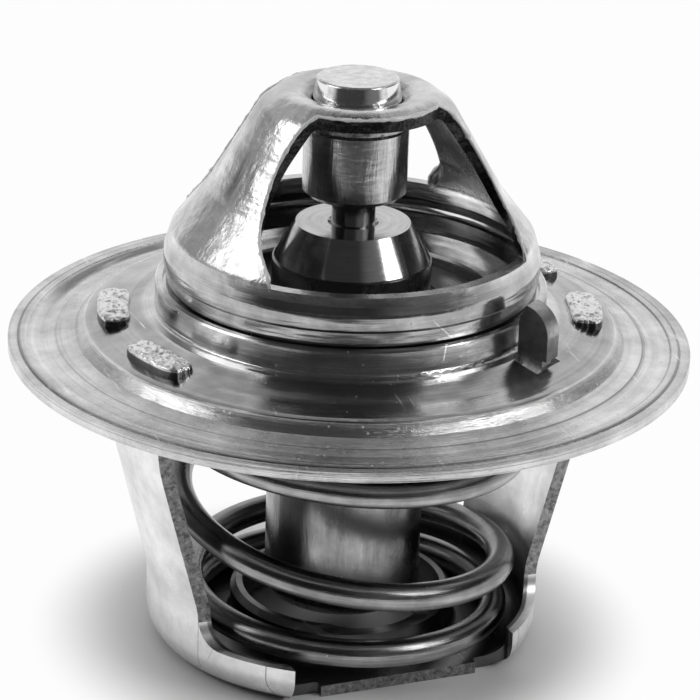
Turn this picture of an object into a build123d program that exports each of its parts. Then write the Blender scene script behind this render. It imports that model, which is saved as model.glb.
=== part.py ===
"""Engine thermostat, closed.

Millimetres. Z runs up the axis from the underside of the flange rim, X runs
through the two legs of the lower frame and of the upper bridge.
"""

from build123d import *
import math
import os

os.makedirs("parts", exist_ok=True)

# flange plate
flange_radius = 24.0
plate_thickness = 0.7
rim_slope_radius = flange_radius - 2.55
ridge_radius = 19.35
ridge_height = 1.08
web_outer_radius = 18.7
web_outer_height = 1.88
web_inner_radius = 14.55
web_inner_height = 2.92
web_dip = 0.1
collar_radius = 13.75
collar_foot_height = 2.98
collar_top = 4.5
seat_radius = 10.1
seat_top = 3.9
shelf_radius = seat_radius + 2.1
lip_width = 0.5
lip_top = 4.85
rim_bead_radius = flange_radius - 1.02
rim_bead_half_width = 0.33
rim_bead_height = 0.1
score_radii = (14.15, 14.4)
score_depth = 0.04

# upper bridge
bridge_thickness = 0.75
band_radius = 13.0
band_step = 0.17
band_step_height = 5.9
band_top = 7.1
sill_height = 8.3
shoulder_radius = 6.7
shoulder_height = 17.75
crown_radius = 5.2
crown_height = 18.85
dish_height = 18.62
window_half_length = 9.3
window_corner = 3.15
bridge_leg_half_width = 3.85
window_top_radius = 5.85
neck_bottom = 16.5
joint_gap = 0.02

# set plug, sleeve and piston
plug_radius = 3.08
plug_top = 19.67
plug_bottom = 11.9
plug_taper_bottom = 18.3
plug_top_radius = 2.82
plug_chamfer = 0.12
sleeve_radius = 3.65
sleeve_bottom = 11.3
sleeve_chamfer = 0.3
piston_radius = 1.55
piston_bottom = -1.8
piston_top = 15.9
bore_clearance = 0.03
press_gap = 0.01

# lower frame
frame_thickness = 0.85
frame_top_radius = 17.0
frame_wall_radius = 14.13
frame_knee_high = -5.0
frame_knee_low = -16.7
frame_bottom = -22.05
pan_corner = 2.2
ring_lip_bend = 1.3
knee_low_bend = 6.0
knee_high_bend = 12.0
head_taper = 1.5
cut_reach = 20.0
leg_half_width = 5.7
pan_wall_top = -19.0
leg_root_radius = 1.9
pan_chord = 10.4
pan_cut_near = 7.9
pan_cut_far = 8.8
notch_length = 2.5
notch_depth = 0.7
notch_corner = 0.35
head_half_width = 8.0
head_bottom = -1.6
guide_hole_radius = 7.2
guide_ring_top = -18.6
tab_angle = 17.5
tab_half_angle = 8.0
tab_top = 2.88
tab_root = 0.6
stake_inner_spread = 0.45
stake_outer_spread = 0.6
stake_spread_angle = 1.0
stake_corner = 0.65
stake_chamfer = 0.1
slot_clearance = 0.06

# main spring
wire_radius = 1.0
coil_top_radius = 12.1
coil_bottom_radius = 11.06
taper_first_angle = 120.0
taper_last_angle = 520.0
spring_first_angle = -380.0
spring_last_angle = 915.0
spring_start_turn = -22.0
spring_seat_bottom = -3.95
spring_steps = 66
# end angle of each run of the wire and its drop along that run
spring_runs = (
    (-140, 0.15), (-85, 1.15), (180, 3.95), (275, 4.05), (390, 2.55), (540, 1.1), (760, 2.3),
)

# element
element_radius = 5.6
element_bore = 4.97
element_bottom = -19.1
element_floor = 0.9
cone_top = 9.14
cone_top_radius = 4.03
cone_base = 6.5
cone_base_radius = 5.47
guide_foot = -8.3
wax_radius = 4.3
bead_radius = 6.3
bead_bottom = 1.1

# valve
disc_thickness = 0.7
disc_top = 3.05
disc_radius = seat_radius + 1.2
cup_thickness = 0.6
seat_clearance = 0.05
skirt_radius = 10.1
spring_seat_radius = 13.2
ring_radius = 6.4
ring_height = 0.6

# jiggle pin
jiggle_angle = -56.0
jiggle_radius = 15.45
jiggle_hole_length = 1.9
jiggle_hole_width = 3.0
jiggle_head_length = 2.3
jiggle_head_height = 3.7
jiggle_head_width = 1.45
jiggle_stem_length = 1.5
jiggle_stem_width = 1.2
jiggle_travel = 1.2
jiggle_foot_radius = 1.5
jiggle_foot_height = 1.3


def polar(radius, angle):
    """Point at a radius and an angle in degrees."""
    turn = math.radians(angle)
    return (radius * math.cos(turn), radius * math.sin(turn))


def sector(inner, outer, middle, half):
    """Ring sector between two radii, half an angle to each side of its middle."""
    with BuildSketch() as shape:
        with BuildLine():
            ThreePointArc(polar(outer, middle - half), polar(outer, middle), polar(outer, middle + half))
            Line(polar(outer, middle + half), polar(inner, middle + half))
            ThreePointArc(polar(inner, middle + half), polar(inner, middle), polar(inner, middle - half))
            Line(polar(inner, middle - half), polar(outer, middle - half))
        make_face()
    return shape.sketch


def rounded_outline(corners, radii):
    """Closed outline with straight sides and a tangent arc of its own radius at each corner."""
    count = len(corners)
    entries = []
    middles = []
    exits = []
    for place, radius in enumerate(radii):
        corner = Vector(*corners[place])
        back = (Vector(*corners[place - 1]) - corner).normalized()
        ahead = (Vector(*corners[(place + 1) % count]) - corner).normalized()
        half_angle = math.radians(back.get_angle(ahead)) / 2
        reach = radius / math.tan(half_angle)
        inward = (back + ahead).normalized() if radius > 0 else back
        entries.append(corner + back * reach)
        middles.append(corner + inward * (radius / math.sin(half_angle) - radius))
        exits.append(corner + ahead * reach)
    with BuildSketch() as shape:
        with BuildLine():
            for place in range(count):
                if radii[place] > 0:
                    ThreePointArc(entries[place], middles[place], exits[place])
                Line(exits[place], entries[(place + 1) % count])
        make_face()
    return shape.sketch


def sheet_section(points, radii, thickness):
    """Section of bent sheet, given by the corners and bend radii of one face.

    The other face lies a thickness to the left of the way along the corners, with
    each corner on the bisector and each bend about the same centre.
    """
    ways = []
    for start, end in zip(points[:-1], points[1:]):
        length = math.dist(start, end)
        ways.append(((end[0] - start[0]) / length, (end[1] - start[1]) / length))
    far_points = []
    far_radii = []
    for place, point in enumerate(points):
        before = ways[max(place - 1, 0)]
        after = ways[min(place, len(ways) - 1)]
        scale = thickness / (1 + before[0] * after[0] + before[1] * after[1])
        across = (before[1] + after[1], before[0] + after[0])
        far_points.append((point[0] - scale * across[0], point[1] + scale * across[1]))
        if 0 < place < len(points) - 1:
            left_turn = before[0] * after[1] > before[1] * after[0]
            near = radii[place - 1]
            far_radii.append(max(near - thickness, 0) if left_turn else near + thickness)
    return rounded_outline([*points, *far_points[::-1]], [0, *radii, 0, 0, *far_radii[::-1], 0])


tab_angles = [tab_angle, -tab_angle, 180 + tab_angle, 180 - tab_angle]
tab_outer = frame_top_radius
tab_inner = frame_top_radius - frame_thickness
stake_inner = tab_inner - stake_inner_spread
stake_outer = tab_outer + stake_outer_spread
web_slope = (web_inner_height - web_outer_height) / (web_outer_radius - web_inner_radius)


def web_height(radius):
    """Height of the straight line over the flange plate's hollow web."""
    return web_outer_height + web_slope * (web_outer_radius - radius)


wall_top = web_height(frame_top_radius) - web_dip - plate_thickness * math.sqrt(1 + web_slope**2) - joint_gap

# flange plate
web_middle_radius = (web_inner_radius + web_outer_radius) / 2
flange_points = [
    (flange_radius, plate_thickness),
    (rim_slope_radius, plate_thickness),
    (ridge_radius, ridge_height),
    (web_outer_radius, web_outer_height),
    (web_middle_radius, web_height(web_middle_radius) - web_dip),
    (web_inner_radius, web_inner_height),
    (collar_radius, collar_foot_height),
    (collar_radius, collar_top),
    (shelf_radius, collar_top),
    (seat_radius, seat_top),
]
with BuildPart() as flange_plate:
    with BuildSketch(Plane.XZ) as flange_section:
        add(sheet_section(flange_points, [0.6, 0.12, 1.4, 6.0, 0.3, 0.25, 0.6, 0.5], plate_thickness))
    revolve(axis=Axis.Z)
    # lip of the collar round the foot of the bridge
    with BuildSketch(Plane.XZ):
        with Locations((collar_radius, lip_top)):
            Rectangle(lip_width, lip_top - collar_foot_height - 0.6, align=(Align.MAX, Align.MAX))
    revolve(axis=Axis.Z)
    chamfer(flange_plate.edges().group_by(Axis.Z)[-1].sort_by(SortBy.RADIUS)[-1], 0.12)
    # shallow bead on the rim
    with BuildSketch(Plane.XZ):
        with Locations((rim_bead_radius, plate_thickness)):
            Ellipse(rim_bead_half_width, rim_bead_height)
    revolve(axis=Axis.Z)
    # score lines round the foot of the collar
    for score_radius in score_radii:
        with BuildSketch(Plane.XZ):
            with Locations((score_radius, collar_foot_height + score_depth / 2)):
                Circle(score_depth)
        revolve(axis=Axis.Z, mode=Mode.SUBTRACT)
    with BuildSketch(Plane.XY.offset(collar_foot_height)):
        for angle in tab_angles:
            add(sector(tab_inner - slot_clearance, tab_outer + slot_clearance, angle, tab_half_angle + 0.2))
        with Locations(Location(polar(jiggle_radius, jiggle_angle), jiggle_angle)):
            Rectangle(jiggle_hole_length, jiggle_hole_width)
    extrude(amount=-collar_foot_height, mode=Mode.SUBTRACT)

# upper bridge
bridge_points = [
    (band_radius, collar_top + joint_gap),
    (band_radius, band_step_height),
    (band_radius + band_step, band_step_height + 0.15),
    (band_radius + band_step, band_top),
    (12.72, 8.6),
    (10.4, 11.5),
    (shoulder_radius, shoulder_height),
    (crown_radius, crown_height),
    (3.9, dish_height),
    (plug_radius + 0.05, dish_height - 0.5),
    (plug_radius + 0.05, neck_bottom),
]
with BuildPart() as upper_bridge:
    with BuildSketch(Plane.XZ) as bridge_section:
        add(sheet_section(bridge_points, [0.1, 0.1, 1.0, 1.5, 4.0, 1.6, 1.2, 0.3, 0.3], bridge_thickness))
    revolve(axis=Axis.Z)
    # two windows seen from above
    with BuildSketch(Plane.XY.offset(sill_height)):
        for side in (1, -1):
            with BuildLine():
                corner_x = window_half_length - window_corner
                corner_y = side * (bridge_leg_half_width + window_corner)
                arc_x = math.sqrt(window_top_radius**2 - bridge_leg_half_width**2)
                bend = window_corner * math.sqrt(0.5)
                Line((window_half_length, side * 15), (window_half_length, corner_y))
                ThreePointArc(
                    (window_half_length, corner_y),
                    (corner_x + bend, corner_y - side * bend),
                    (corner_x, side * bridge_leg_half_width),
                )
                Line((corner_x, side * bridge_leg_half_width), (arc_x, side * bridge_leg_half_width))
                ThreePointArc(
                    (arc_x, side * bridge_leg_half_width),
                    (0, side * window_top_radius),
                    (-arc_x, side * bridge_leg_half_width),
                )
                Line((-arc_x, side * bridge_leg_half_width), (-corner_x, side * bridge_leg_half_width))
                ThreePointArc(
                    (-corner_x, side * bridge_leg_half_width),
                    (-corner_x - bend, corner_y - side * bend),
                    (-window_half_length, corner_y),
                )
                Line((-window_half_length, corner_y), (-window_half_length, side * 15))
                Line((-window_half_length, side * 15), (window_half_length, side * 15))
            make_face()
    extrude(amount=12, mode=Mode.SUBTRACT)

# set plug
with BuildPart() as set_plug:
    with BuildSketch(Plane.XY.offset(plug_bottom)):
        Circle(plug_radius)
    extrude(amount=plug_top - plug_bottom)
    # taper of the top that stands out of the bridge
    with BuildSketch(Plane.XZ):
        Polygon(
            (plug_radius, plug_taper_bottom), (plug_radius + 1, plug_taper_bottom),
            (plug_radius + 1, plug_top), (plug_top_radius, plug_top), align=None,
        )
    revolve(axis=Axis.Z, mode=Mode.SUBTRACT)
    chamfer(set_plug.faces().sort_by(Axis.Z)[-1].edges(), plug_chamfer)
    with BuildSketch(Plane.XY.offset(plug_bottom)):
        Circle(piston_radius + press_gap)
    extrude(amount=piston_top - plug_bottom + 0.05, mode=Mode.SUBTRACT)

# guide sleeve
with BuildPart() as guide_sleeve:
    with BuildSketch(Plane.XY.offset(sleeve_bottom)):
        Circle(sleeve_radius)
        Circle(plug_radius + press_gap, mode=Mode.SUBTRACT)
    extrude(amount=neck_bottom - joint_gap - sleeve_bottom)
    chamfer(guide_sleeve.edges().group_by(Axis.Z)[0].sort_by(SortBy.RADIUS)[-1], sleeve_chamfer)
    chamfer(guide_sleeve.edges().group_by(Axis.Z)[-1].sort_by(SortBy.RADIUS)[-1], sleeve_chamfer)

# piston
with BuildPart() as piston:
    with BuildSketch(Plane.XY.offset(piston_bottom)):
        Circle(piston_radius)
    extrude(amount=piston_top - piston_bottom)
    chamfer(piston.edges().filter_by(GeomType.CIRCLE), 0.2)

# lower frame
frame_points = [
    (guide_hole_radius, guide_ring_top),
    (guide_hole_radius, frame_bottom),
    (frame_wall_radius, frame_bottom),
    (frame_wall_radius, frame_knee_low),
    (frame_top_radius, frame_knee_high),
    (frame_top_radius, wall_top),
]
frame_bends = [ring_lip_bend, pan_corner, knee_low_bend, knee_high_bend]
with BuildPart() as lower_frame:
    with BuildSketch(Plane.XZ):
        add(sheet_section(frame_points, frame_bends, frame_thickness))
    revolve(axis=Axis.Z)
    # thinned lip of the raised ring
    chamfer(lower_frame.edges().filter_by(GeomType.CIRCLE).filter_by(
        lambda edge: abs(edge.center().Z - guide_ring_top) < 0.01).sort_by(SortBy.RADIUS)[-1], 0.4)
    # free sides between the two legs
    with BuildSketch(Plane.YZ):
        for side in (1, -1):
            with BuildLine():
                Polyline(
                    (side * cut_reach, 5), (side * head_half_width, 5), (side * head_half_width, head_bottom),
                    (side * leg_half_width, head_bottom - head_taper),
                    (side * leg_half_width, pan_wall_top + leg_root_radius),
                )
                ThreePointArc(
                    (side * leg_half_width, pan_wall_top + leg_root_radius),
                    (side * (leg_half_width + leg_root_radius * (1 - math.sqrt(0.5))),
                     pan_wall_top + leg_root_radius * (1 - math.sqrt(0.5))),
                    (side * (leg_half_width + leg_root_radius), pan_wall_top),
                )
                Polyline(
                    (side * (leg_half_width + leg_root_radius), pan_wall_top),
                    (side * cut_reach, pan_wall_top), (side * cut_reach, 5),
                )
            make_face()
    extrude(amount=cut_reach, both=True, mode=Mode.SUBTRACT)
    # straight front and back edges of the pan with relief notches at the wall ends
    for way in (1, -1):
        with BuildSketch(Plane(origin=(0, 0, frame_bottom - 1), x_dir=(way, 0, 0), z_dir=(0, 0, 1))):
            with Locations(((pan_cut_far - pan_cut_near) / 2, -pan_chord)):
                Rectangle(pan_cut_far + pan_cut_near, 10, align=(Align.CENTER, Align.MAX))
            with Locations(
                (notch_length / 2 - pan_cut_near, -pan_chord),
                (pan_cut_far - notch_length / 2, -pan_chord),
            ):
                RectangleRounded(notch_length, 2 * notch_depth, notch_corner)
        extrude(amount=6, mode=Mode.SUBTRACT)
    # stakes over the flange plate, following its cone underneath
    for angle in tab_angles:
        with BuildSketch(Plane.XY.offset(wall_top + 0.3)) as stake:
            add(sector(stake_inner, stake_outer, angle, tab_half_angle + stake_spread_angle))
            fillet(stake.vertices(), stake_corner)
        extrude(amount=tab_top - wall_top - 0.3)
    with BuildSketch(Plane.XZ):
        with BuildLine():
            Polyline(
                (stake_inner - 1, wall_top + 0.2), (stake_outer + 1, wall_top + 0.2),
                (stake_outer + 1, web_height(stake_outer + 1) + joint_gap),
                (stake_inner - 1, web_height(stake_inner - 1) + joint_gap),
                close=True,
            )
        make_face()
    revolve(axis=Axis.Z, mode=Mode.SUBTRACT)
    chamfer(lower_frame.faces().group_by(Axis.Z)[-1].edges(), stake_chamfer)
    # tabs rooted in the wall and passing through the slots
    for angle in tab_angles:
        with BuildSketch(Plane.XY.offset(wall_top - tab_root)):
            add(sector(tab_inner + joint_gap, tab_outer - joint_gap, angle, tab_half_angle))
        extrude(amount=tab_top - stake_chamfer - joint_gap - wall_top + tab_root)

# main spring
def spring_height(angle):
    """Height of the wire centre, dropping evenly along each run."""
    height = spring_seat_bottom - wire_radius
    start = spring_first_angle
    for end, drop in spring_runs:
        height = height - drop * min(max((angle - start) / (end - start), 0), 1)
        start = end
    return height


def spring_radius(angle):
    """Radius of the wire centre, narrowing towards the pan."""
    part = min(max((angle - taper_first_angle) / (taper_last_angle - taper_first_angle), 0), 1)
    return coil_top_radius + (coil_bottom_radius - coil_top_radius) * part


step_angle = (spring_last_angle - spring_first_angle) / spring_steps
spring_angles = [spring_first_angle + step_angle * step for step in range(spring_steps + 1)]
# heights are averaged over a sixth of a turn so that the runs blend
spring_path_points = []
for angle in spring_angles:
    blend = [spring_height(angle + shift) for shift in (-40, -20, 0, 20, 40)]
    x, y = polar(spring_radius(angle), angle + spring_start_turn)
    spring_path_points.append((x, y, sum(blend) / len(blend)))
with BuildPart() as main_spring:
    with BuildLine():
        wire_line = Spline(*spring_path_points)
    with BuildSketch(Plane(origin=wire_line @ 0, z_dir=wire_line % 0)):
        Circle(wire_radius)
    sweep(path=wire_line)

# element cup
with BuildPart() as element_cup:
    with BuildSketch(Plane.XY.offset(element_bottom)):
        Circle(element_radius)
    extrude(amount=cone_base - joint_gap - element_bottom)
    fillet(element_cup.faces().sort_by(Axis.Z)[0].edges(), 1.2)
    with BuildSketch(Plane.XY.offset(bead_bottom)):
        Circle(bead_radius)
    extrude(amount=disc_top - disc_thickness - cup_thickness - bead_bottom - joint_gap)
    with BuildSketch(Plane.XY.offset(guide_foot - 0.6)):
        Circle(element_bore)
    extrude(amount=20, mode=Mode.SUBTRACT)
    with BuildSketch(Plane.XY.offset(element_bottom + element_floor)):
        Circle(wax_radius + press_gap)
    extrude(amount=guide_foot - element_bottom, mode=Mode.SUBTRACT)

# element guide with its cone
with BuildPart() as element_guide:
    with BuildSketch(Plane.XZ):
        with BuildLine():
            Polyline(
                (piston_radius + bore_clearance, guide_foot),
                (element_bore - press_gap, guide_foot),
                (element_bore - press_gap, cone_base),
                (cone_base_radius, cone_base),
                (cone_base_radius, cone_base + 0.12),
                (cone_top_radius, cone_top),
                (piston_radius + 0.25, cone_top),
                (piston_radius + bore_clearance, cone_top - 0.3),
                close=True,
            )
        make_face()
    revolve(axis=Axis.Z)

# wax charge
with BuildPart() as wax_charge:
    with BuildSketch(Plane.XY.offset(element_bottom + element_floor + joint_gap)):
        Circle(wax_radius)
    extrude(amount=guide_foot - 0.6 - 2 * joint_gap - element_bottom - element_floor)

# diaphragm
with BuildPart() as diaphragm:
    with BuildSketch(Plane.XY.offset(guide_foot - 0.6 + joint_gap)):
        Circle(element_bore - press_gap)
    extrude(amount=0.6 - 2 * joint_gap)

# relay column between diaphragm and piston
with BuildPart() as flow_medium:
    with BuildSketch(Plane.XY.offset(guide_foot + joint_gap)):
        Circle(piston_radius)
    extrude(amount=2.1)

with BuildPart() as rubber_piston:
    with BuildSketch(Plane.XY.offset(guide_foot + 2.1 + 2 * joint_gap)):
        Circle(piston_radius)
    extrude(amount=3.6)

with BuildPart() as anti_friction_disc:
    with BuildSketch(Plane.XY.offset(guide_foot + 5.7 + 3 * joint_gap)):
        Circle(piston_radius)
    extrude(amount=piston_bottom - guide_foot - 5.7 - 4 * joint_gap)

# valve disc
with BuildPart() as valve_disc:
    with BuildSketch(Plane.XY.offset(disc_top - disc_thickness)):
        Circle(disc_radius)
        Circle(element_radius + bore_clearance, mode=Mode.SUBTRACT)
    extrude(amount=disc_thickness)

# rubber seal clasping the rim of the disc
seat_slope = (collar_top - seat_top) / (shelf_radius - seat_radius)
seal_inner = seat_radius - 0.25
seal_outer = shelf_radius + 0.1
seal_top = seat_top - plate_thickness - seat_clearance
with BuildPart() as valve_seal:
    with BuildSketch(Plane.XZ):
        with BuildLine():
            Polyline(
                (seal_inner, disc_top + joint_gap),
                (disc_radius + joint_gap, disc_top + joint_gap),
                (disc_radius + joint_gap, disc_top - disc_thickness - joint_gap),
                (seal_inner + 0.6, disc_top - disc_thickness - joint_gap),
                (seal_inner + 0.6, disc_top - disc_thickness - 0.5),
                (seal_outer - 0.4, disc_top - disc_thickness - 0.5),
                (seal_outer, disc_top - disc_thickness),
                (seal_outer, seal_top + seat_slope * (shelf_radius - seat_radius)),
                (shelf_radius, seal_top + seat_slope * (shelf_radius - seat_radius)),
                (seat_radius, seal_top),
                close=True,
            )
        make_face()
    revolve(axis=Axis.Z)

# retaining ring
with BuildPart() as retaining_ring:
    with BuildSketch(Plane.XY.offset(disc_top + joint_gap)):
        Circle(ring_radius)
        Circle(element_radius + press_gap, mode=Mode.SUBTRACT)
    extrude(amount=ring_height)
    chamfer(retaining_ring.edges().group_by(Axis.Z)[-1].sort_by(SortBy.RADIUS)[-1], 0.2)

# spring cup
cup_top = disc_top - disc_thickness - joint_gap
cup_points = [
    (spring_seat_radius, spring_seat_bottom + cup_thickness),
    (skirt_radius, spring_seat_bottom + cup_thickness),
    (skirt_radius, cup_top),
    (element_radius + bore_clearance, cup_top),
]
with BuildPart() as spring_cup:
    with BuildSketch(Plane.XZ):
        add(sheet_section(cup_points, [0.4, 1.0], cup_thickness))
    revolve(axis=Axis.Z)

# jiggle pin
jiggle_place = Plane(Location((*polar(jiggle_radius, jiggle_angle), 0), (0, 0, jiggle_angle)))
jiggle_seat = web_height(jiggle_radius - jiggle_head_length / 2)
head_bottom_z = jiggle_seat + joint_gap
foot_top = web_height(jiggle_radius + jiggle_foot_radius) - plate_thickness - jiggle_travel - 0.05
with BuildPart() as jiggle_pin:
    with BuildSketch(Plane(origin=jiggle_place.origin, x_dir=jiggle_place.x_dir, z_dir=-jiggle_place.y_dir)):
        with BuildLine():
            left = -jiggle_head_length / 2
            Polyline(
                (left + 0.5, head_bottom_z + jiggle_head_height), (left, head_bottom_z + 2.6),
                (left, head_bottom_z), (-left, head_bottom_z), (-left, head_bottom_z + 1.6),
            )
            ThreePointArc(
                (-left, head_bottom_z + 1.6), (left + 1.75, head_bottom_z + 3.05),
                (left + 0.5, head_bottom_z + jiggle_head_height),
            )
        make_face()
    extrude(amount=jiggle_head_width / 2, both=True)
    with BuildSketch(jiggle_place):
        Rectangle(jiggle_stem_length, jiggle_stem_width)
    extrude(amount=head_bottom_z)
    with BuildSketch(jiggle_place):
        Rectangle(jiggle_stem_length, jiggle_stem_width)
    extrude(amount=-(jiggle_foot_height - foot_top))

# foot pressed on the stem
with BuildPart() as jiggle_foot:
    with BuildSketch(jiggle_place.offset(foot_top - jiggle_foot_height)):
        Circle(jiggle_foot_radius)
        Rectangle(jiggle_stem_length + 2 * press_gap, jiggle_stem_width + 2 * press_gap, mode=Mode.SUBTRACT)
    extrude(amount=jiggle_foot_height)

parts = {
    "flange_plate": flange_plate,
    "upper_bridge": upper_bridge,
    "set_plug": set_plug,
    "guide_sleeve": guide_sleeve,
    "piston": piston,
    "lower_frame": lower_frame,
    "main_spring": main_spring,
    "element_cup": element_cup,
    "element_guide": element_guide,
    "wax_charge": wax_charge,
    "diaphragm": diaphragm,
    "flow_medium": flow_medium,
    "rubber_piston": rubber_piston,
    "anti_friction_disc": anti_friction_disc,
    "valve_disc": valve_disc,
    "valve_seal": valve_seal,
    "retaining_ring": retaining_ring,
    "spring_cup": spring_cup,
    "jiggle_pin": jiggle_pin,
    "jiggle_foot": jiggle_foot,
}
for name, piece in parts.items():
    piece.part.label = name
    export_step(piece.part, f"parts/{name}.step")
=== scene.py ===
"""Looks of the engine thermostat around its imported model: finishes, spring wire, light and camera."""

import math

import bpy
import numpy as np
from mathutils import Matrix, Vector


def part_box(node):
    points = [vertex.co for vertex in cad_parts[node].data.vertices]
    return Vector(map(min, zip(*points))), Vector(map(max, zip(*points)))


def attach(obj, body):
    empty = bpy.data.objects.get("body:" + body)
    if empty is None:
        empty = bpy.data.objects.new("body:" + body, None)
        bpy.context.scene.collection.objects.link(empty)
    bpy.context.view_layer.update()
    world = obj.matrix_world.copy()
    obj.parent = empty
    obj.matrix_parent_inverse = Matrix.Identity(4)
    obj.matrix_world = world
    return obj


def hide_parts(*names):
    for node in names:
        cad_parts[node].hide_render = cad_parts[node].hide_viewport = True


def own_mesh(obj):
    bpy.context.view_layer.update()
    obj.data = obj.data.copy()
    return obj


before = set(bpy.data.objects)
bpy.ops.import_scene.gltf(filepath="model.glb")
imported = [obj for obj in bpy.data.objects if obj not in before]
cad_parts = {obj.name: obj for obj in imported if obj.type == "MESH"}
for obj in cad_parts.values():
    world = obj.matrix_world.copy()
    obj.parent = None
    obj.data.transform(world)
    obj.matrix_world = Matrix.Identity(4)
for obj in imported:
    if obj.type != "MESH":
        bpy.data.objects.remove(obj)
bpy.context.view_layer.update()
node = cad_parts
scene = bpy.context.scene
scene.view_settings.view_transform = "Standard"

MM = 0.001


# ---- ways to build nodes, finishes and meshes

class Nodes:
    """A node tree with short ways to add and join its nodes."""

    def __init__(self, tree):
        self.tree = tree

    def node(self, kind, **settings):
        """Adds a shader node of a kind, with its settings."""
        made = self.tree.nodes.new("ShaderNode" + kind)
        for key, value in settings.items():
            setattr(made, key, value)
        return made

    def link(self, source, target):
        self.tree.links.new(source, target)

    def feed(self, value, target):
        """Sets a socket to a number or links it to another socket."""
        if isinstance(value, (int, float)):
            target.default_value = value
        else:
            self.link(value, target)

    def math(self, operation, *values):
        """The result of one operation on numbers or sockets."""
        made = self.node("Math", operation=operation)
        for place, value in enumerate(values):
            self.feed(value, made.inputs[place])
        return made.outputs[0]

    def times(self, first, second):
        return self.math("MULTIPLY", first, second)

    def vector(self, *values):
        """A vector joined from up to three numbers."""
        made = self.node("CombineXYZ")
        for place, value in enumerate(values):
            self.feed(value, made.inputs[place])
        return made.outputs[0]

    def parts(self, vector):
        """The three numbers of a vector."""
        made = self.node("SeparateXYZ")
        self.link(vector, made.inputs[0])
        return made.outputs

    def towards(self, direction, aim):
        """The cosine of the angle between a direction and a fixed one."""
        made = self.node("VectorMath", operation="DOT_PRODUCT")
        made.inputs[1].default_value = aim
        self.link(direction, made.inputs[0])
        return made.outputs["Value"]

    def spread(self, value, low, high, to_low=0.0, to_high=1.0, steps="LINEAR"):
        """A value between two levels carried over to two others, and held there outside them."""
        made = self.node("MapRange", interpolation_type=steps)
        self.link(value, made.inputs["Value"])
        levels = {"From Min": low, "From Max": high, "To Min": to_low, "To Max": to_high}
        for name, level in levels.items():
            made.inputs[name].default_value = level
        return made.outputs[0]


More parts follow.
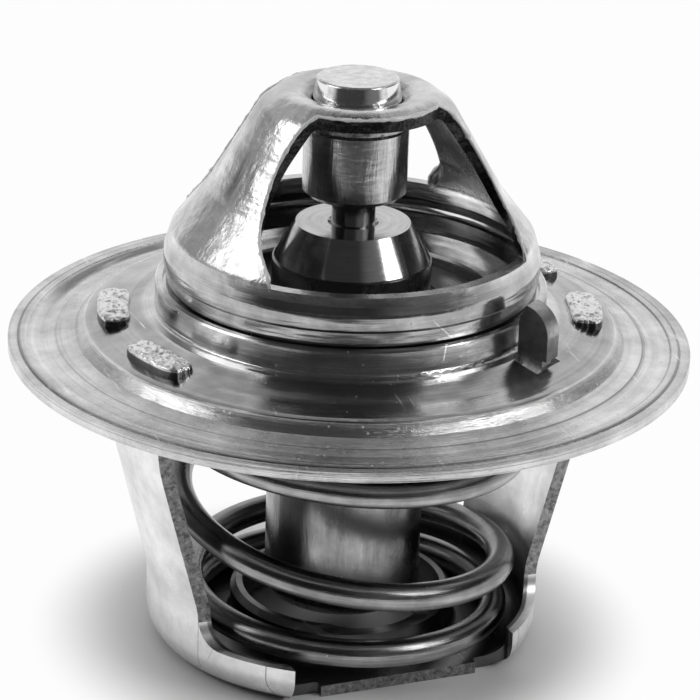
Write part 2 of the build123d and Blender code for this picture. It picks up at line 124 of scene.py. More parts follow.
class Finish(Nodes):
    """A node material built up step by step around one Principled shader."""

    def __init__(self, name, colour, metallic=1.0, roughness=0.3):
        self.material = bpy.data.materials.new(name)
        self.material.use_nodes = True
        super().__init__(self.material.node_tree)
        self.shader = self.tree.nodes["Principled BSDF"]
        self.shader.inputs["Base Color"].default_value = (*colour, 1)
        self.shader.inputs["Metallic"].default_value = metallic
        self.shader.inputs["Roughness"].default_value = roughness
        self.normal = None

    def place(self):
        """Object coordinates in metres."""
        return self.node("TexCoord").outputs["Object"]

    def axes(self):
        """Object coordinates one by one, with the distance from the axis and the angle about it."""
        x, y, z = self.parts(self.place())
        radius = self.math("SQRT", self.math("ADD", self.times(x, x), self.times(y, y)))
        return x, y, z, radius, self.math("ARCTAN2", y, x)

    def turned(self, radial=1.0, around=0.0, height=1.0):
        """Coordinates without a seam on a turned part: radius, a circle of some millimetres, height."""
        *_, z, radius, angle = self.axes()
        circle = (self.times(self.math(side, angle), around * MM) for side in ("COSINE", "SINE"))
        return self.vector(self.times(radius, radial), *circle), self.times(z, height)

    def pattern(self, kind, where, scale):
        """A noise or cell pattern on a vector, or on a vector and a fourth coordinate."""
        made = self.node(kind)
        if isinstance(where, tuple):
            where, fourth = where
            setattr(made, "noise_dimensions" if kind == "TexNoise" else "voronoi_dimensions", "4D")
            self.link(self.times(fourth, scale), made.inputs["W"])
            stretched = self.node("VectorMath", operation="SCALE")
            stretched.inputs["Scale"].default_value = scale
            self.link(where, stretched.inputs[0])
            where, scale = stretched.outputs[0], 1.0
        made.inputs["Scale"].default_value = scale
        self.link(where, made.inputs["Vector"])
        return made

    def noise(self, where, scale, detail=3.0, rough=0.55):
        made = self.pattern("TexNoise", where, scale)
        made.inputs["Detail"].default_value = detail
        made.inputs["Roughness"].default_value = rough
        return made.outputs["Fac"]

    def mixed(self, mask, low, high):
        """The first value where the mask is 0 and the second where it is 1."""
        made = self.node("Mix")
        self.link(mask, made.inputs["Factor"])
        self.feed(low, made.inputs["A"])
        self.feed(high, made.inputs["B"])
        return made.outputs["Result"]

    def scaled(self, value, mask, low, high):
        """A value times the first factor where the mask is 0 and times the second where it is 1."""
        return self.times(value, self.spread(mask, 0, 1, low, high))

    def outside(self, mask):
        """The mask the other way round: 1 where it is 0."""
        return self.spread(mask, 1, 0)

    def distance(self, value, middle):
        """How far a value is from a middle, either way."""
        return self.math("ABSOLUTE", self.math("SUBTRACT", value, middle))

    def within(self, value, middle, half):
        """A mask of the places where a value is within a half width of its middle."""
        return self.math("LESS_THAN", self.distance(value, middle), half)

    def fading(self, value, middle, half_end, half_full):
        """A mask that is 1 up to one distance from a middle and fades to 0 at the other."""
        return self.spread(self.distance(value, middle), half_end, half_full)

    def specks(self, where, scale, size):
        """A mask of scattered round specks, each of a share of its cell."""
        cells = self.pattern("TexVoronoi", where, scale)
        return self.spread(cells.outputs["Distance"], size, size * 0.6)

    def scratches(self, turn, scale, width, share):
        """A mask of thin straight scratches that lie about one way and come in patches."""
        mapping = self.node("Mapping")
        mapping.inputs["Rotation"].default_value = (0.4, 0.3, turn)
        mapping.inputs["Scale"].default_value = (1, 0.03, 0.6)
        self.link(self.place(), mapping.inputs["Vector"])
        cells = self.node("TexVoronoi", feature="DISTANCE_TO_EDGE")
        cells.inputs["Scale"].default_value = scale
        self.link(mapping.outputs[0], cells.inputs["Vector"])
        lines = self.spread(cells.outputs["Distance"], width, width * 0.3)
        patches = self.spread(self.noise(self.place(), 260, detail=2.0), 1 - share, 1.1 - share)
        return self.times(lines, patches)

    def bump(self, height, depth):
        """Adds a height field whose full swing is depth metres."""
        made = self.node("Bump")
        made.inputs["Distance"].default_value = depth
        self.link(height, made.inputs["Height"])
        if self.normal:
            self.link(self.normal, made.inputs["Normal"])
        self.normal = made.outputs[0]
        self.link(self.normal, self.shader.inputs["Normal"])

    def surface(self, tone, rough, metallic=None):
        """Links the grey tone and the roughness to the shader, and the metallic share where it varies."""
        self.link(tone, self.shader.inputs["Base Color"])
        self.link(rough, self.shader.inputs["Roughness"])
        if metallic:
            self.link(metallic, self.shader.inputs["Metallic"])
        return self

    def on(self, *pieces):
        for piece in pieces:
            piece.data.materials.clear()
            piece.data.materials.append(self.material)


def grey(value):
    return (value, value, value)


class Steel(Finish):
    """Bare steel with clouds, drawn or turned lines, specks and scratches."""

    def __init__(self, name, dark, light, smooth, rough):
        super().__init__(name, grey(light), roughness=smooth)
        self.dark, self.light, self.smooth, self.rough = dark, light, smooth, rough

    def worn(self, lines, line_share=0.4, cloud_scale=280, speck_scale=700, speck_size=0.05, pit_size=0.0):
        """Tone and roughness from clouds and lines, with pale specks and dark pits on them."""
        cloud = self.spread(self.noise(self.place(), cloud_scale, detail=5.0, rough=0.6), 0.32, 0.68)
        both = self.shared(cloud, self.spread(lines, 0.3, 0.7), line_share)
        tone = self.spread(both, 0.0, 1.0, self.dark, self.light)
        rough = self.spread(both, 1.0, 0.0, self.smooth, self.rough)
        if speck_size:
            specks = self.specks(self.place(), speck_scale, speck_size)
            tone = self.mixed(specks, tone, 0.9)
            rough = self.mixed(specks, rough, 0.6)
        if pit_size:
            pits = self.specks(self.turned(around=8), speck_scale * 0.7, pit_size)
            tone = self.mixed(pits, tone, 0.12)
        return tone, rough

    def shared(self, first, second, share):
        """Two values added up, the second with its share and the first with the rest."""
        return self.math("ADD", self.times(first, 1 - share), self.times(second, share))


def placed(name, data):
    """A new object in the scene with a mesh, a lamp or a camera."""
    made = bpy.data.objects.new(name, data)
    scene.collection.objects.link(made)
    return made


def mesh_of(name, points, faces):
    """A new mesh from lists of points and of the point numbers of each face."""
    mesh = bpy.data.meshes.new(name)
    mesh.from_pydata(points, [], faces)
    return mesh


def tube_faces(rows, around):
    """Faces of a closed tube whose points run round one ring after the other.

    Four points of two neighbour rings make one face of the sides. Two points that follow all the rings
    close the first and the last ring with a fan each.
    """
    row, column = np.divmod(np.arange((rows - 1) * around), around)
    beside = (column + 1) % around
    sides = np.stack([row * around + column, row * around + beside,
                      (row + 1) * around + beside, (row + 1) * around + column], axis=1)
    column = np.arange(around)
    beside = (column + 1) % around
    last = (rows - 1) * around
    start = np.stack([np.full(around, rows * around), beside, column], axis=1)
    end = np.stack([np.full(around, rows * around + 1), last + column, last + beside], axis=1)
    return sides, np.concatenate([start, end])


def swept_tube(centre, outward, thickness, turn):
    """Points and faces of a tube along a path, with closed ends.

    Round each centre the points stand at the thickness times the cosine of their angle along the outward
    side, plus its sine along the direction square to that side and to the path.
    """
    forward = np.gradient(centre, axis=0)
    forward /= np.linalg.norm(forward, axis=1)[:, None]
    side = outward - forward * np.sum(outward * forward, axis=1)[:, None]
    side /= np.linalg.norm(side, axis=1)[:, None]
    down = np.cross(forward, side)
    ring = np.cos(turn)[None, :, None] * side[:, None] + np.sin(turn)[None, :, None] * down[:, None]
    points = centre[:, None] + thickness[..., None] * ring
    points = np.concatenate([points.reshape(-1, 3), centre[:1], centre[-1:]])
    return points, *tube_faces(len(centre), len(turn))


def path_length(centre):
    """The length of a path up to each of its points: the running sum of its straight steps."""
    return np.concatenate([[0], np.cumsum(np.linalg.norm(np.diff(centre, axis=0), axis=1))])


def crumple(across, along, cell, seed):
    """Smooth random heights from 0 to 1: levels drawn for the corners of square cells, blended over each."""
    levels = np.random.default_rng(seed).random((256, 256))
    u, v = across / cell + 32, along / cell + 32
    column, row = np.floor(u).astype(int), np.floor(v).astype(int)
    u, v = u - column, v - row
    u, v = u * u * (3 - 2 * u), v * v * (3 - 2 * v)
    near = levels[column, row] * (1 - u) + levels[column + 1, row] * u
    far = levels[column, row + 1] * (1 - u) + levels[column + 1, row + 1] * u
    return near * (1 - v) + far * v


# ---- flange plate

CONE_START = 14.4 * MM
CONE_END = 18.6 * MM
SEAT_OPENING = 13.1 * MM
SMEAR_RADIUS = 21.9 * MM
SMEAR_ANGLE = math.radians(125)


def flange_steel():
    """A smooth inner cone darkened with painted shade, rings pressed and worn into the outer part, a dark
    smear near the rim, and painted shade inside the seat opening.
    """
    steel = Steel("flange_steel", dark=0.38, light=1.0, smooth=0.16, rough=0.34)
    *_, radius, angle = steel.axes()
    outer = steel.spread(radius, CONE_END - 0.1 * MM, CONE_END + 0.1 * MM)
    cone = steel.times(steel.spread(radius, CONE_START, CONE_START + 0.4 * MM), steel.outside(outer))
    rings = steel.noise(steel.turned(around=0.25), 1050, detail=8.0, rough=0.68)
    fine_rings = steel.noise(steel.turned(around=0.3), 7000, detail=2.0)
    tone, rough = steel.worn(
        rings, line_share=0.55, cloud_scale=330, speck_scale=950, speck_size=0.10, pit_size=0.05)
    # painted shade: the inner cone is darkened to stand for the dark parts it mirrors
    tone = steel.scaled(tone, cone, 1.0, 0.66)
    rough = steel.scaled(rough, outer, 0.62, 1.0)
    lines = steel.spread(steel.noise(steel.turned(around=0.05), 2300, detail=3.0), 0.58, 0.64)
    tone = steel.mixed(steel.scaled(lines, outer, 0.15, 0.8), tone, 0.22)
    tone = steel.mixed(steel.scratches(turn=0.5, scale=260, width=0.012, share=0.45), tone, 0.95)
    smear = steel.spread(steel.noise(steel.turned(around=3.0), 700, detail=4.0), 0.28, 0.48)
    smear = steel.times(steel.fading(angle, SMEAR_ANGLE, math.radians(26), math.radians(14)), smear)
    smear = steel.times(steel.fading(radius, SMEAR_RADIUS, 0.75 * MM, 0.35 * MM), smear)
    tone = steel.mixed(smear, tone, 0.16)
    # painted shade: darker inside the seat opening
    tone = steel.scaled(tone, steel.spread(radius, SEAT_OPENING, SEAT_OPENING - 0.3 * MM), 1.0, 0.9)
    steel.bump(steel.noise(steel.place(), 160, detail=2.0), 0.12 * MM)
    steel.bump(steel.scaled(rings, outer, 0.15, 1.0), 0.16 * MM)
    steel.bump(steel.times(fine_rings, outer), 0.008 * MM)
    return steel.surface(tone, rough)


flange_steel().on(node["flange_plate"])


# ---- upper bridge

WINDOW_END = 9.3 * MM
WINDOW_CORNER = 3.15 * MM
WINDOW_TOP = 5.85 * MM
WINDOW_SILL = 8.3 * MM
BRIDGE_LEG = 3.85 * MM
BAND_TOP = 8.5 * MM
DRAG_ANGLE = math.radians(-167)
DRAG_HEIGHT = 13.6 * MM
# each slope: its outward direction in radius and height, and a point on it
DOME_SLOPES = ((1, 0, 13.0, 7.5), (0.781, 0.625, 12.72, 8.6), (0.8605, 0.5094, 10.4, 11.5),
               (0.591, 0.806, 6.7, 17.75), (0, 1, 5.0, 18.8))


def from_window(steel, x, y, radius):
    """How far a point is from the outline of the nearest window in plan, below 0 within the window.

    It is the distance to a rounded corner, whose straight sides run on along the leg and up from the sill,
    or the distance to the circle of the crown, whichever is more.
    """
    over_x = steel.math("SUBTRACT", steel.math("ABSOLUTE", x), WINDOW_END - WINDOW_CORNER)
    over_y = steel.math("SUBTRACT", BRIDGE_LEG + WINDOW_CORNER, steel.math("ABSOLUTE", y))
    out_x, out_y = (steel.math("MAXIMUM", over, 0.0) for over in (over_x, over_y))
    corner = steel.math("SQRT", steel.math("ADD", steel.times(out_x, out_x), steel.times(out_y, out_y)))
    inner = steel.math("MINIMUM", steel.math("MAXIMUM", over_x, over_y), 0.0)
    from_side = steel.math("SUBTRACT", steel.math("ADD", corner, inner), WINDOW_CORNER)
    return steel.math("MAXIMUM", from_side, steel.math("SUBTRACT", WINDOW_TOP, radius))


def beyond_dome(steel, radius, height):
    """How far a point is outside the slopes of the dome: the most that it is beyond any one of them."""
    depth = None
    for out_r, out_z, through_r, through_z in DOME_SLOPES:
        beyond = steel.math("ADD", steel.times(steel.math("SUBTRACT", radius, through_r * MM), out_r),
                            steel.times(steel.math("SUBTRACT", height, through_z * MM), out_z))
        depth = steel.math("MAXIMUM", depth, beyond) if depth else beyond
    return depth


def bridge_steel():
    """Drawn sheet with shallow waves, painted shade on its back and on its band, and rough dark edges where
    the windows are punched, with burrs there painted bright as a highlight.
    """
    steel = Steel("bridge_steel", dark=0.40, light=0.98, smooth=0.20, rough=0.36)
    x, y, z, radius, angle = steel.axes()
    from_edge = from_window(steel, x, y, radius)
    above_sill = steel.math("GREATER_THAN", z, WINDOW_SILL + 0.02 * MM)
    cut_face = steel.times(above_sill, steel.math("LESS_THAN", from_edge, 0.015 * MM))
    band = steel.spread(z, BAND_TOP, BAND_TOP - 0.8 * MM)
    back_face = steel.spread(beyond_dome(steel, radius, z), -0.3 * MM, -0.45 * MM)
    mottle = steel.noise(steel.place(), 330, detail=6.0, rough=0.58)
    waves = steel.noise(steel.turned(radial=0.3, around=2.2, height=1.0), 420, detail=3.0)
    creases = steel.noise(steel.turned(radial=0.3, around=6.0, height=0.35), 1100, detail=4.0)
    rounds = steel.noise(steel.turned(around=0.5), 1700, detail=4.0)
    grain = steel.noise(steel.place(), 5000, detail=2.0)

    tone, rough = steel.worn(mottle, line_share=0.6, speck_scale=500, speck_size=0.05, pit_size=0.05)
    tone = steel.mixed(steel.scratches(turn=1.2, scale=300, width=0.012, share=0.45), tone, 0.95)
    # a patch of dark drag marks on one leg
    drag = steel.noise(steel.turned(radial=0.2, around=14.0, height=0.2), 900, detail=3.0)
    drag = steel.times(steel.fading(z, DRAG_HEIGHT, 1.7 * MM, 1.1 * MM), steel.spread(drag, 0.40, 0.56))
    drag = steel.times(steel.fading(angle, DRAG_ANGLE, math.radians(9), math.radians(5)), drag)
    tone = steel.mixed(drag, tone, 0.16)
    # the band round the foot is turned and darkened by its rings and by painted shade, and the back of the
    # sheet gets painted shade
    tone = steel.mixed(band, tone, steel.times(tone, steel.spread(rounds, 0.3, 0.7, 0.5, 0.8)))
    rough = steel.scaled(rough, band, 1.0, 0.55)
    tone = steel.scaled(tone, back_face, 1.0, 0.60)
    # burrs beside the dark cut faces, painted bright with less metal as a highlight
    reach = steel.spread(steel.noise(steel.place(), 3000, detail=2.0), 0.35, 0.65, 0.05 * MM, 0.20 * MM)
    burr_and_glint = steel.times(above_sill, steel.math("LESS_THAN", from_edge, reach))
    burr_and_glint = steel.times(burr_and_glint, steel.outside(cut_face))
    tone = steel.mixed(burr_and_glint, tone, steel.spread(grain, 0.3, 0.7, 0.6, 1.0))
    tone = steel.mixed(cut_face, tone, steel.spread(grain, 0.3, 0.7, 0.01, 0.07))
    rough = steel.mixed(burr_and_glint, rough, 0.45)

    steel.bump(waves, 0.16 * MM)
    steel.bump(steel.times(creases, steel.outside(band)), 0.08 * MM)
    steel.bump(steel.times(mottle, steel.outside(band)), 0.17 * MM)
    steel.bump(steel.times(rounds, band), 0.02 * MM)
    return steel.surface(tone, rough, steel.spread(burr_and_glint, 0, 1, 1.0, 0.3))


bridge_steel().on(node["upper_bridge"])


# ---- set plug, sleeve and piston

PLUG_SHOULDER = 19.53 * MM


def plug_steel():
    """A hammered top and a turned, polished side."""
    steel = Steel("plug_steel", dark=0.74, light=0.98, smooth=0.07, rough=0.15)
    dents = steel.noise(steel.place(), 1700, detail=5.0, rough=0.6)
    tone, rough = steel.worn(steel.noise(steel.turned(around=0.5), 5000), speck_size=0.0)
    struck = steel.spread(steel.axes()[2], PLUG_SHOULDER, PLUG_SHOULDER + 0.06 * MM)
    tone = steel.mixed(struck, tone, steel.spread(dents, 0.38, 0.62, 0.75, 1.0))
    rough = steel.mixed(struck, rough, 0.24)
    steel.bump(steel.scaled(dents, struck, 0.03, 1.0), 0.04 * MM)
    return steel.surface(tone, rough, steel.spread(struck, 0, 1, 1.0, 0.8))


def sleeve_steel():
    """Drawn down its length, with marks round it."""
    steel = Steel("sleeve_steel", dark=0.26, light=0.84, smooth=0.12, rough=0.26)
    drawn = steel.noise(steel.turned(radial=0.0, around=4.0, height=0.12), 1800, detail=5.0, rough=0.65)
    marks = steel.noise(steel.turned(radial=0.0, around=1.0), 2600, detail=4.0)
    tone, rough = steel.worn(steel.shared(drawn, marks, 0.4), line_share=0.7, speck_size=0.03)
    steel.bump(drawn, 0.05 * MM)
    steel.bump(marks, 0.012 * MM)
    return steel.surface(tone, rough)


def piston_steel():
    """Ground and polished."""
    steel = Steel("piston_steel", dark=0.50, light=0.70, smooth=0.08, rough=0.20)
    ground = steel.noise(steel.turned(around=1.0), 6000, detail=3.0)
    tone, rough = steel.worn(ground, line_share=0.5, speck_size=0.0)
    steel.bump(ground, 0.002 * MM)
    return steel.surface(tone, rough)


plug_steel().on(node["set_plug"])
sleeve_steel().on(node["guide_sleeve"])
piston_steel().on(node["piston"])


# ---- lower frame

LEG_SIDE = 5.7 * MM
LEG_TOP = -3.0 * MM
LEG_FOOT = -16.0 * MM
PAN_CHORD = 10.4 * MM
PAN_INSIDE = 13.6 * MM
SHEARED_HALF = 0.02 * MM


def frame_steel():
    """Satin sheet, sheared rough along its cut edges, with painted shade inside the pan."""
    steel = Steel("frame_steel", dark=0.62, light=1.0, smooth=0.24, rough=0.42)
    _, y, z, radius, _ = steel.axes()
    beside = steel.math("ABSOLUTE", y)
    sheared = steel.times(steel.within(beside, LEG_SIDE, SHEARED_HALF), steel.math("LESS_THAN", z, LEG_TOP))
    sheared = steel.math("MAXIMUM", sheared, steel.within(beside, PAN_CHORD, SHEARED_HALF))
    inside = steel.times(steel.spread(radius, PAN_INSIDE, PAN_INSIDE - 0.1 * MM),
                         steel.spread(z, LEG_FOOT, LEG_FOOT - 2 * MM))
    grain = steel.noise(steel.place(), 600, detail=6.0, rough=0.65)
    shear_marks = steel.noise(steel.place(), 2400, detail=4.0, rough=0.7)
    tone, rough = steel.worn(grain, line_share=0.5, cloud_scale=220, speck_size=0.0)
    # painted shade inside the pan
    tone = steel.scaled(tone, inside, 1.0, 0.22)
    scratches = steel.math("MAXIMUM", steel.scratches(turn=0.9, scale=240, width=0.010, share=0.40),
                           steel.scratches(turn=-0.4, scale=300, width=0.010, share=0.35))
    tone = steel.mixed(scratches, tone, 0.55)
    tone = steel.mixed(sheared, tone, steel.spread(shear_marks, 0.3, 0.7, 0.08, 0.5))
    rough = steel.mixed(sheared, rough, 0.5)
    steel.bump(grain, 0.02 * MM)
    steel.bump(steel.times(shear_marks, sheared), 0.12 * MM)
    return steel.surface(tone, rough)


frame_steel().on(node["lower_frame"])


# ---- wax element, valve disc and vent

def element_metal():
    """Drawn down its length."""
    metal = Steel("element_metal", dark=0.06, light=0.52, smooth=0.16, rough=0.34)
    drawn = metal.noise(metal.turned(radial=0.0, around=7.0, height=0.16), 420, detail=7.0, rough=0.7)
    tone, rough = metal.worn(drawn, line_share=0.6, cloud_scale=350, speck_size=0.03)
    metal.bump(drawn, 0.06 * MM)
    return metal.surface(tone, rough)


def guide_metal():
    """Turned and polished."""
    metal = Steel("guide_metal", dark=0.44, light=0.66, smooth=0.08, rough=0.20)
    cuts = metal.noise(metal.turned(around=0.3), 5200, detail=2.0)
    tone, rough = metal.worn(cuts, line_share=0.6, speck_size=0.02)
    metal.bump(cuts, 0.002 * MM)
    return metal.surface(tone, rough)


def disc_steel():
    """Pressed sheet with faint rings."""
    steel = Steel("disc_steel", dark=0.28, light=0.46, smooth=0.26, rough=0.42)
    rings = steel.noise(steel.turned(around=0.5), 2200, detail=4.0)
    tone, rough = steel.worn(rings, speck_size=0.03)
    steel.bump(rings, 0.01 * MM)
    return steel.surface(tone, rough)


def jiggle_metal():
    """Dark oxide with a fine grain."""
    metal = Steel("jiggle_metal", dark=0.20, light=0.55, smooth=0.30, rough=0.48)
    grain = metal.noise(metal.place(), 1800, detail=4.0)
    tone, rough = metal.worn(grain, cloud_scale=700, speck_scale=1500, speck_size=0.05)
    metal.bump(grain, 0.03 * MM)
    return metal.surface(tone, rough)


def soft_finish(name, colour, grain_scale, depth, smooth, rough):
    """Rubber, wax or plastic: one colour with a fine grain in its height and gloss."""
    made = Finish(name, colour, metallic=0.0, roughness=rough)
    grain = made.noise(made.place(), grain_scale, detail=4.0)
    made.bump(grain, depth)
    shade = made.node("Mix", data_type="RGBA")
    shade.inputs["A"].default_value = (*[part * 0.75 for part in colour], 1)
    shade.inputs["B"].default_value = (*colour, 1)
    made.link(made.spread(made.noise(made.place(), grain_scale / 6), 0.35, 0.65), shade.inputs["Factor"])
    return made.surface(shade.outputs["Result"], made.spread(grain, 0.3, 0.7, smooth, rough))


element_metal().on(node["element_cup"], node["spring_cup"])
guide_metal().on(node["element_guide"], node["retaining_ring"])
disc_steel().on(node["valve_disc"])
jiggle_metal().on(node["jiggle_pin"], node["jiggle_foot"])
soft_finish("seal_rubber", grey(0.04), grain_scale=3000, depth=0.01 * MM, smooth=0.42, rough=0.62).on(
    node["valve_seal"], node["diaphragm"], node["rubber_piston"])
soft_finish("wax", (0.60, 0.50, 0.36), grain_scale=900, depth=0.02 * MM, smooth=0.45, rough=0.65).on(
    node["wax_charge"], node["flow_medium"])
soft_finish("white_plastic", grey(0.8), grain_scale=1500, depth=0.01 * MM, smooth=0.4, rough=0.55).on(
    node["anti_friction_disc"])


# ---- crushed heads of the four stakes

STAKE_ANGLE = math.radians(17.5)
STAKE_RADIUS = 16.65 * MM
STAKE_HALF_LENGTH = 2.68 * MM
STAKE_HALF_WIDTH = 1.04 * MM
STAKE_TOP = 2.95 * MM
STAKE_ROOT = 2.0 * MM
STAKE_RELIEF = 0.30 * MM
STAKE_ROLL = 0.22 * MM
STAKE_SUNK = 0.12 * MM
STAKE_FACE = (2.62 * MM, 2.70 * MM)
# the plate's upper side under the stakes: radius and height at its inner and outer end
PLATE_NEAR_STAKE = ((14.55 * MM, 18.7 * MM), (2.92 * MM, 1.88 * MM))


def stake_head(name, angle, seed, around=120, across=30, down=8):
    """A crushed lump of metal over one stake.

    Each ring of points is a rounded rectangle, the sum of fourth powers of its two shares being 1, that
    swells and shrinks with a random share of its angle. The rings grow from the middle to the outline while
    the height follows random heights of two sizes, rolls over near the outline by the sixth power of the
    ring's share, and then drops straight into the plate. A point under the lump closes it.
    """
    turn = np.linspace(0, 2 * np.pi, around, endpoint=False)
    rounded = (np.abs(np.cos(turn)) ** 4 + np.abs(np.sin(turn)) ** 4) ** -0.25
    swell = 1.0 + 0.10 * crumple(np.cos(turn), np.sin(turn), 0.9, seed)
    swell = swell + 0.05 * crumple(np.cos(turn), np.sin(turn), 0.16, seed + 3)
    share = np.concatenate([np.linspace(0.03, 1, across), np.ones(down)])[:, None]
    radial = STAKE_HALF_WIDTH * rounded * swell * np.cos(turn) * share
    sideways = STAKE_HALF_LENGTH * rounded * swell * np.sin(turn) * share
    distance = STAKE_RADIUS + radial
    bearing = angle + sideways / STAKE_RADIUS
    lumps = 0.6 * crumple(radial, sideways, 0.55 * MM, seed + 1)
    lumps = lumps + 0.4 * crumple(radial, sideways, 0.2 * MM, seed + 2)
    top = STAKE_TOP + STAKE_RELIEF * (lumps - 0.25) - STAKE_ROLL * share ** 6
    plate = np.interp(distance, *PLATE_NEAR_STAKE)
    sunk = np.concatenate([np.zeros(across), np.linspace(0, 1, down + 1)[1:]])[:, None]
    height = top * (1 - sunk) + (plate - STAKE_SUNK) * sunk
    points = np.stack([distance * np.cos(bearing), distance * np.sin(bearing), height], axis=-1)
    middle = (STAKE_RADIUS * math.cos(angle), STAKE_RADIUS * math.sin(angle))
    points = np.concatenate([points.reshape(-1, 3), [[*middle, STAKE_TOP], [*middle, STAKE_ROOT]]])
    sides, ends = tube_faces(across + down, around)
    # the rings grow outwards, so each face runs the other way round
    mesh = mesh_of(name, points.tolist(), sides[:, [0, 3, 2, 1]].tolist() + ends[:, [0, 2, 1]].tolist())
    mesh.shade_smooth()
    piece = placed(name, mesh)
    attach(piece, "housing")
    return piece


def stake_steel():
    """Bright crushed metal with dark holes, and painted shade on its sides."""
    steel = Steel("stake_steel", dark=0.90, light=1.0, smooth=0.14, rough=0.28)
    z = steel.axes()[2]
    grain = steel.noise(steel.place(), 3600, detail=5.0, rough=0.7)
    tone, rough = steel.worn(grain, line_share=0.6, cloud_scale=1500, speck_scale=1800, speck_size=0.1)
    tone = steel.mixed(steel.specks(steel.place(), 2600, 0.16), tone, 0.2)
    face = steel.spread(z, *STAKE_FACE)
    # painted shade on the sides under the crushed top
    tone = steel.mixed(steel.outside(face), tone, 0.15)
    steel.bump(grain, 0.035 * MM)
    return steel.surface(tone, rough, steel.spread(face, 0, 1, 1.0, 0.9))


stake_bearings = (STAKE_ANGLE, -STAKE_ANGLE, math.pi + STAKE_ANGLE, math.pi - STAKE_ANGLE)
stake_steel().on(*[
    stake_head(f"stake_head_{number + 1}", angle, 10 * number + 3)
    for number, angle in enumerate(stake_bearings)])


# ---- main spring, wound here as a tube

WIRE_RADIUS = 1.0 * MM
COIL_ANGLES = (-380, 915)
COIL_START_TURN = -22
COIL_TOP = -4.95 * MM
# angles in degrees with the coil's radius there, and with its drop in millimetres there
COIL_TAPER = ((120, 12.1 * MM), (520, 11.06 * MM))
COIL_RUNS = ((-380, 0), (-140, 0.15), (-85, 1.30), (180, 5.25), (275, 9.30), (390, 11.85), (540, 12.95),
             (760, 15.25))


def wound_wire(name, along=420, around=20):
    """The spring's wire as a tube along a coil.

    The coil's radius narrows evenly between two angles and its height drops evenly along each run, averaged
    over five angles within 40 degrees either way. The map "wire" holds the length along the wire and the
    length round it, in metres.
    """
    degrees = np.linspace(*COIL_ANGLES, along)
    radius = np.interp(degrees, *zip(*COIL_TAPER))
    angles, drops = zip(*COIL_RUNS)
    drop = sum(np.interp(degrees + shift, angles, drops) for shift in (-40, -20, 0, 20, 40)) / 5 * MM
    bearing = np.radians(degrees + COIL_START_TURN)
    outward = np.stack([np.cos(bearing), np.sin(bearing), np.zeros(along)], axis=1)
    centre = outward * radius[:, None]
    centre[:, 2] = COIL_TOP - drop
    turn = np.linspace(-np.pi, np.pi, around, endpoint=False)
    points, sides, ends = swept_tube(centre, outward, np.full((along, around), WIRE_RADIUS), turn)
    mesh = mesh_of(name, points.tolist(), sides.tolist() + ends.tolist())
    mesh.polygons.foreach_set("use_smooth", np.repeat([True, False], [len(sides), len(ends)]))
    length = path_length(centre)
    row, corner = np.divmod(np.arange(len(sides)), around)
    step = 2 * np.pi * WIRE_RADIUS / around
    along_wire = np.stack([length[row], length[row], length[row + 1], length[row + 1]], axis=1)
    round_wire = (np.stack([corner, corner + 1, corner + 1, corner], axis=1) - around / 2) * step
    along_wire = np.concatenate([along_wire.ravel(), np.repeat([0, length[-1]], 3 * around)])
    round_wire = np.concatenate([round_wire.ravel(), np.zeros(6 * around)])
    wire_map = mesh.uv_layers.new(name="wire")
    wire_map.data.foreach_set("uv", np.stack([along_wire, round_wire], axis=1).ravel())
    mesh.update()
    piece = placed(name, mesh)
    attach(piece, "housing")
    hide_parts("main_spring")
    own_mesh(piece)
    return piece


def spring_steel():
    """Dark drawn wire, lighter along its lower outer side with a painted reflection of the bright floor."""
    steel = Steel("spring_steel", dark=0.12, light=0.44, smooth=0.16, rough=0.34)
    along, round_wire, _ = steel.parts(steel.node("UVMap", uv_map="wire").outputs[0])
    drawn = steel.noise(steel.vector(steel.times(along, 0.06), round_wire), 2600, detail=6.0, rough=0.65)
    tone, rough = steel.worn(drawn, line_share=0.6, cloud_scale=400, speck_scale=900, speck_size=0.05)
    # painted reflection of the bright floor along the lower outer side
    floor_reflection_side = steel.times(steel.spread(round_wire, -0.15 * MM, 0.25 * MM),
                            steel.spread(round_wire, 2.0 * MM, 1.5 * MM))
    tone = steel.scaled(tone, floor_reflection_side, 0.8, 1.6)
    rough = steel.scaled(rough, floor_reflection_side, 0.8, 1.5)
    steel.bump(drawn, 0.03 * MM)
    return steel.surface(tone, rough)


spring_steel().on(wound_wire("main_spring_coil"), node["main_spring"])


# ---- burrs along the edges of the two windows, painted bright as a highlight

BURR_SIZE = 0.075 * MM
BURR_RAGGED = 0.15 * MM
BURR_SUNK = 0.02 * MM
BURR_START = 8.75 * MM
# the bridge's outer outline: radius and height, in millimetres
BRIDGE_OUTLINE = ((3.9, 18.62), (5.2, 18.85), (6.7, 17.75), (10.4, 11.5), (12.72, 8.6), (13.0, 7.1))


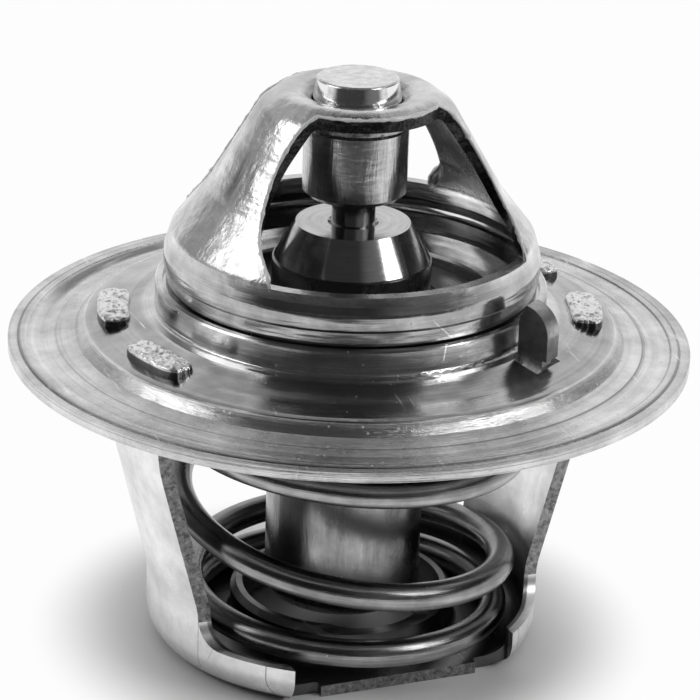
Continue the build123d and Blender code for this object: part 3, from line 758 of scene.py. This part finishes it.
def window_burr(name, way, seed, along=700, around=10):
    """A ragged thread of metal along the outer edge of one window.

    In plan half of the edge runs straight from the sill, round the corner of the leg, straight along the leg
    and round the crown; the other half mirrors it. The height is that of the bridge's outline at the same
    radius, averaged over three radii, and the thickness follows random levels from 0 to 1.
    """
    corner = np.radians(np.linspace(0, -90, 60))
    crown = np.linspace(math.asin(BRIDGE_LEG / WINDOW_TOP), math.pi / 2, 90)
    straight = np.linspace(0, 1, 20)[:-1]
    corner_x, corner_y = WINDOW_END - WINDOW_CORNER, BRIDGE_LEG + WINDOW_CORNER
    crown_x = WINDOW_TOP * math.cos(crown[0])
    x = np.concatenate([np.full(len(straight), WINDOW_END), corner_x + WINDOW_CORNER * np.cos(corner)[:-1],
                        corner_x + (crown_x - corner_x) * straight, WINDOW_TOP * np.cos(crown)])
    y = np.concatenate([BURR_START + (corner_y - BURR_START) * straight,
                        corner_y + WINDOW_CORNER * np.sin(corner)[:-1],
                        np.full(len(straight), BRIDGE_LEG), WINDOW_TOP * np.sin(crown)])
    x, y = np.concatenate([x, -x[-2::-1]]), np.concatenate([y, y[-2::-1]])
    radius = np.hypot(x, y)
    out_radius, out_height = (np.array(row) * MM for row in zip(*BRIDGE_OUTLINE))
    height = sum(np.interp(radius + shift * MM, out_radius, out_height) for shift in (-0.3, 0, 0.3)) / 3
    centre = np.stack([x, way * y, height - BURR_SUNK], axis=1)
    # even steps along the path
    length = path_length(centre)
    steps = np.linspace(0, length[-1], along)
    centre = np.stack([np.interp(steps, length, centre[:, axis]) for axis in range(3)], axis=1)
    outward = centre * (1, 1, 0) / np.hypot(centre[:, 0], centre[:, 1])[:, None]
    turn = np.linspace(-np.pi, np.pi, around, endpoint=False)
    run, ring = np.broadcast_arrays(steps[:, None], 0.1 * MM * np.cos(turn))
    ragged = crumple(run, ring, 1.0 * MM, seed) * crumple(run, ring, 0.35 * MM, seed + 1)
    points, sides, ends = swept_tube(centre, outward, BURR_SIZE + BURR_RAGGED * ragged, turn)
    mesh = mesh_of(name, points.tolist(), sides.tolist() + ends.tolist())
    mesh.shade_smooth()
    piece = placed(name, mesh)
    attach(piece, "housing")
    return piece


def glinting_burr_steel():
    """Torn metal with a fine grain, painted near white with little metal as a highlight."""
    steel = Steel("glinting_burr_steel", dark=0.94, light=1.0, smooth=0.25, rough=0.45)
    steel.shader.inputs["Metallic"].default_value = 0.1
    grain = steel.noise(steel.place(), 2600, detail=3.0)
    tone, rough = steel.worn(grain, line_share=0.6, cloud_scale=700, speck_size=0.0)
    steel.bump(grain, 0.02 * MM)
    return steel.surface(tone, rough)


glinting_burr_steel().on(window_burr("front_window_burr", -1, 71), window_burr("back_window_burr", 1, 83))


# ---- camera

VIEW_AZIMUTH = math.radians(-22)
VIEW_RISE = 21.73
VIEW_ROLL = math.radians(1.955)
VIEW_DISTANCE = 0.230
VIEW_TARGET = Vector((0, 0, 0.7 * MM))
LENS_MM = 167.53
LENS_SHIFT = (0.0008, -0.0237)


def from_view(turn, rise, distance=1.0):
    """A point at a bearing from the camera's own, to its right if positive, and a height angle."""
    bearing = VIEW_AZIMUTH + math.radians(turn)
    rise = math.radians(rise)
    return (
        distance * math.sin(bearing) * math.cos(rise),
        -distance * math.cos(bearing) * math.cos(rise),
        distance * math.sin(rise),
    )


back = Vector(from_view(0, VIEW_RISE))
level_right = Vector((math.cos(VIEW_AZIMUTH), math.sin(VIEW_AZIMUTH), 0))
right = level_right * math.cos(VIEW_ROLL) + back.cross(level_right) * math.sin(VIEW_ROLL)
lens = bpy.data.cameras.new("camera")
lens.sensor_width = 36
lens.lens = LENS_MM
lens.shift_x, lens.shift_y = LENS_SHIFT
lens.clip_start = 0.01
lens.clip_end = 20
camera = placed("camera", lens)
camera.matrix_world = Matrix.Translation(VIEW_TARGET + back * VIEW_DISTANCE) @ Matrix(
    (right, back.cross(right), back)).transposed().to_4x4()
scene.camera = camera


# ---- light

def softbox(name, turn, rise, distance, wide, high, radiance):
    """A rectangular lamp that faces the object and has one brightness over its face."""
    data = bpy.data.lights.new(name, "AREA")
    data.shape = "RECTANGLE"
    data.size = wide
    data.size_y = high
    data.energy = radiance * wide * high * math.pi
    lamp = placed(name, data)
    lamp.location = Vector(from_view(turn, rise, distance))
    lamp.rotation_euler = (-lamp.location).to_track_quat("-Z", "Y").to_euler()


softbox("left_softbox", turn=-84, rise=37, distance=0.45, wide=0.26, high=0.20, radiance=2.6)
softbox("right_softbox", turn=70, rise=38, distance=0.45, wide=0.17, high=0.19, radiance=5.0)

# broad pale areas of the studio: bearing, height, brightness, and the half widths where it starts to fade
# and where it ends
STUDIO_AREAS = (
    (180, 15, 1.00, 22, 56),
    (-140, 45, 0.45, 10, 45),
    (125, 55, 0.60, 8, 30),
    (-100, 20, 0.25, 10, 45),
    (45, 20, 0.22, 5, 40),
)
STUDIO_DARK = 0.05
HORIZON_FADE = 6
HORIZON_END = 9
HORIZON_GAP = (50, 75)

world = bpy.data.worlds.new("studio")
scene.world = world
world.use_nodes = True
studio = Nodes(world.node_tree)
studio.tree.nodes.clear()
direction = studio.node("TexCoord").outputs["Generated"]
level = None
for turn, rise, bright, fade, end in STUDIO_AREAS:
    area = studio.spread(studio.towards(direction, from_view(turn, rise)), math.cos(math.radians(end)),
                         math.cos(math.radians(fade)), to_high=bright, steps="SMOOTHSTEP")
    level = studio.math("MAXIMUM", area, level) if level else studio.math("ADD", area, STUDIO_DARK)
# a white band about the horizon, where the floor ends, missing behind the camera so that upright faces
# mirror a dark room there
band = studio.spread(studio.parts(direction)[2], math.sin(math.radians(HORIZON_END)),
                     math.sin(math.radians(HORIZON_FADE)), steps="SMOOTHSTEP")
open_side = studio.spread(
    studio.towards(direction, from_view(0, 0)), *(math.cos(math.radians(edge)) for edge in HORIZON_GAP),
    steps="SMOOTHSTEP")
glow = studio.node("Background")
studio.link(studio.math("MAXIMUM", level, studio.times(band, open_side)), glow.inputs["Strength"])
studio.link(glow.outputs[0], studio.node("OutputWorld").inputs["Surface"])


# ---- floor

FLOOR_HALF = 3.0
FLOOR_LIFT = 0.97
FLOOR_FADE = (14 * MM, 23 * MM)
CARD_NEAR = 80 * MM
CARD_FAR = 2.0
CARD_HALF = 1.2
CARD_LIFT = 1 * MM


def flat_sheet(name, half_width, low_y, high_y, height):
    """A level rectangle, as wide to the left as to the right."""
    corners = [(-half_width, low_y, height), (half_width, low_y, height),
               (half_width, high_y, height), (-half_width, high_y, height)]
    return placed(name, mesh_of(name, corners, [(0, 1, 2, 3)]))


floor_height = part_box("lower_frame")[0].z
floor = flat_sheet("floor", FLOOR_HALF, -FLOOR_HALF, FLOOR_HALF, floor_height)
# near the object the floor keeps its own shade, and further out the camera and mirrors see it white
paper = Finish("floor_white", grey(0.85), metallic=0.0, roughness=0.9)
rays = paper.node("LightPath")
seen = rays.outputs["Is Camera Ray"]
for kind in ("Is Glossy Ray", "Is Transmission Ray"):
    seen = paper.math("MAXIMUM", seen, rays.outputs[kind])
away = paper.axes()[3]
white = paper.times(seen, paper.spread(away, *FLOOR_FADE, to_high=FLOOR_LIFT, steps="SMOOTHSTEP"))
blend = paper.node("MixShader")
paper.link(white, blend.inputs["Fac"])
paper.link(paper.shader.outputs[0], blend.inputs[1])
paper.link(paper.node("Emission").outputs[0], blend.inputs[2])
paper.link(blend.outputs[0], paper.tree.nodes["Material Output"].inputs["Surface"])
paper.on(floor)

# a dark card on the floor before the object, outside the picture, seen only in its reflections
card = flat_sheet("dark_card", CARD_HALF, -CARD_FAR, -CARD_NEAR, floor_height + CARD_LIFT)
card.data.transform(Matrix.Rotation(VIEW_AZIMUTH, 4, "Z"))
card.visible_camera = False
card.visible_diffuse = False
card.visible_shadow = False
Finish("card_black", grey(0.08), metallic=0.0, roughness=0.9).on(card)
